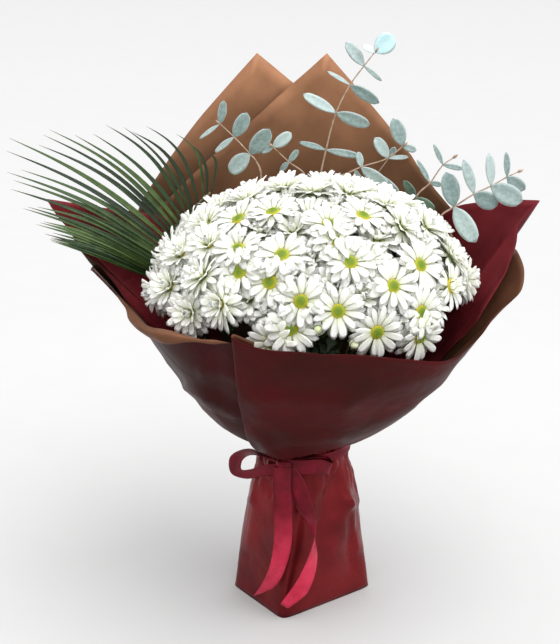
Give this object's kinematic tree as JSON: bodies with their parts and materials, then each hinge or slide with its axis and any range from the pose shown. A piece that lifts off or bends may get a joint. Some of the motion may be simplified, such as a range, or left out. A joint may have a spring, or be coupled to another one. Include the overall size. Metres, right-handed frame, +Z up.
{
  "type": "bunch of daisies",
  "caption": "Wrapped, hand-tied bouquet of white daisies with eucalyptus and a palm frond, tied with a ribbon bow and standing on its stems' ends.",
  "frame": {"origin": "on the floor, under the middle of the foot", "axes": "+Z up, -Y the front of the bunch, +X its right as seen from the front"},
  "size_m": [0.5196, 0.3294, 0.5646],
  "materials": {
    "daisy": "soft matt white petals, green and yellow discs, green stems",
    "eucalyptus": "matt, waxy blue-green leaves on thin brown twigs",
    "palm": "satin dark green leaflets",
    "wrap_burgundy": "matt two-tone wrapping film, burgundy outside and bronze inside",
    "wrap_bronze": "matt two-tone wrapping film, bronze face to the front",
    "foot_film": "soft-gloss burgundy film",
    "ribbon": "crimson satin",
    "tie": "raffia cord"
  },
  "bodies": {
    "root": {"daisy_spray_01": "daisy", "daisy_spray_02": "daisy", "daisy_spray_03": "daisy", "daisy_spray_04": "daisy", "daisy_spray_05": "daisy", "daisy_spray_06": "daisy", "daisy_spray_07": "daisy", "daisy_spray_08": "daisy", "daisy_spray_09": "daisy", "daisy_spray_10": "daisy", "daisy_spray_11": "daisy", "daisy_spray_12": "daisy", "daisy_spray_13": "daisy", "daisy_spray_14": "daisy", "daisy_spray_15": "daisy", "eucalyptus_sprig_tall": "eucalyptus", "eucalyptus_sprig_left": "eucalyptus", "eucalyptus_sprig_inner": "eucalyptus", "eucalyptus_sprig_dark": "eucalyptus", "eucalyptus_sprig_short": "eucalyptus", "eucalyptus_sprig_right": "eucalyptus", "eucalyptus_sprig_low": "eucalyptus", "palm_frond": "palm", "side_sheet_left": "wrap_burgundy", "side_sheet_right": "wrap_burgundy", "front_sheet_left": "wrap_burgundy", "front_sheet_right": "wrap_burgundy", "back_sheet_left": "wrap_bronze", "back_sheet_right": "wrap_bronze", "foot_film": "foot_film", "binding_tie": "tie", "ribbon_bow": "ribbon"}
  },
  "joints": []
}
